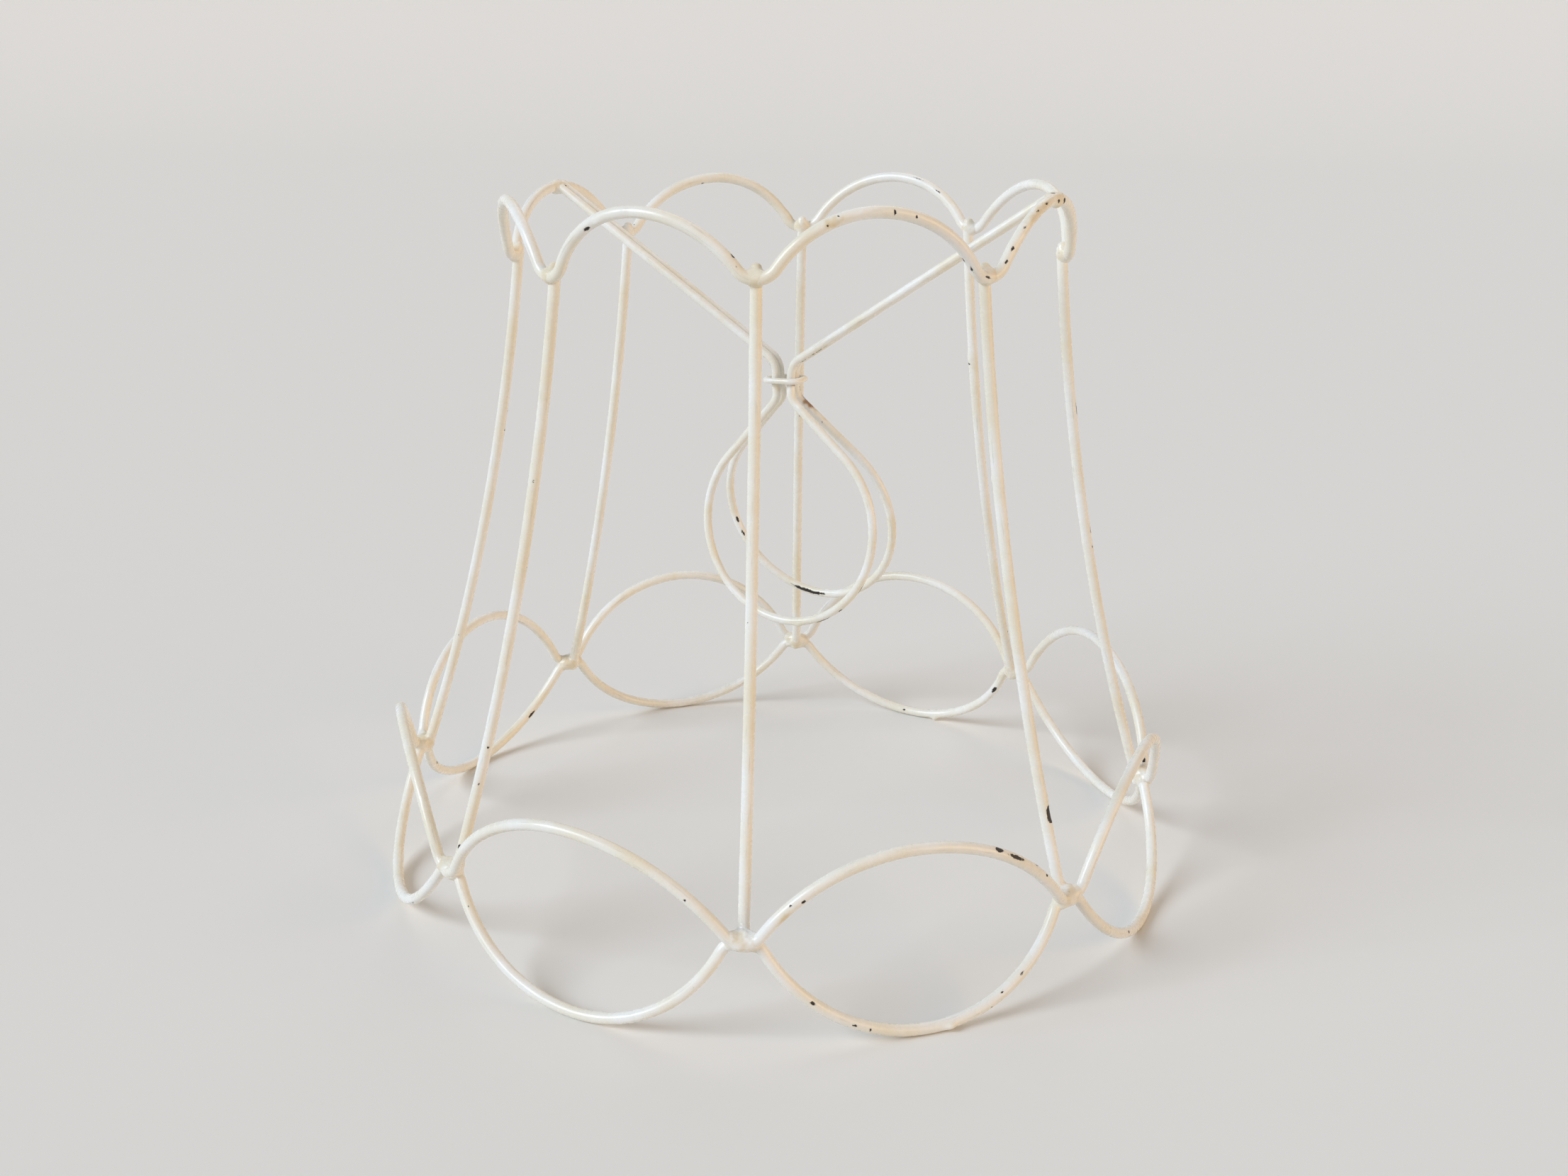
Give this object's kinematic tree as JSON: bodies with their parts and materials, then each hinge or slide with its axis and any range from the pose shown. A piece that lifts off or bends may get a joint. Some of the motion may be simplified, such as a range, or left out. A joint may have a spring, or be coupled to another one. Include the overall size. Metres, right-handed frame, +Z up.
{
  "type": "wire lampshade frame",
  "caption": "Bare welded wire lampshade frame with scalloped rings, bowed struts and a hanging clip that grips a bulb.",
  "frame": {"origin": "on the floor under the middle of the base, level with the lowest points of the base's lower ring", "axes": "+Z up through the middle of the shade; -Y towards the strut that faces the viewer; +X to the viewer's right"},
  "size_m": [0.2308, 0.2288, 0.2008],
  "materials": {
    "frame_wire": "yellowed white gloss paint, chipped",
    "clip_wire": "yellowed white gloss paint, chipped",
    "tie_wire": "white paint, rusty at one side"
  },
  "bodies": {
    "root": {"top_ring": "frame_wire", "base_upper_ring": "frame_wire", "base_lower_ring": "frame_wire", "strut_1": "frame_wire", "strut_2": "frame_wire", "strut_3": "frame_wire", "strut_4": "frame_wire", "strut_5": "frame_wire", "strut_6": "frame_wire", "strut_7": "frame_wire", "strut_8": "frame_wire", "clip_wire_front": "clip_wire", "clip_wire_back": "clip_wire", "clip_tie": "tie_wire"}
  },
  "joints": []
}
